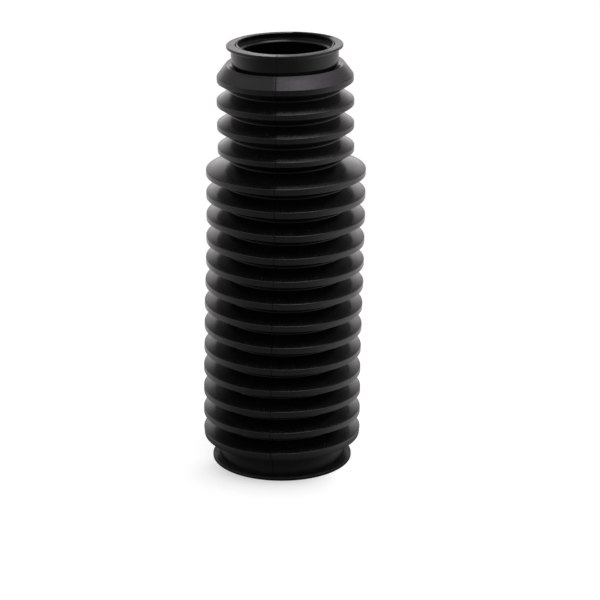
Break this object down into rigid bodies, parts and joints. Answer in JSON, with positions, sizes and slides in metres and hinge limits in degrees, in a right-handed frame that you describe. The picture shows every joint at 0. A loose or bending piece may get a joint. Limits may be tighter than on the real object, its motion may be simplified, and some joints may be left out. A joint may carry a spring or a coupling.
{
  "type": "steering rack boot",
  "caption": "One-piece moulded rubber bellows with small folds above large folds, a lipped neck at the top and a flanged cuff at the foot, each with a clamp seat.",
  "frame": {"origin": "centre of the large cuff's foot, on the surface that the boot stands on", "axes": "+Z along the boot's axis from the large cuff to the neck, X and Y alike because the form is turned"},
  "size_m": [0.069, 0.069, 0.1883],
  "materials": {
    "boot_rubber": "satin moulded"
  },
  "bodies": {
    "root": {"rack_boot": "boot_rubber"}
  },
  "joints": []
}
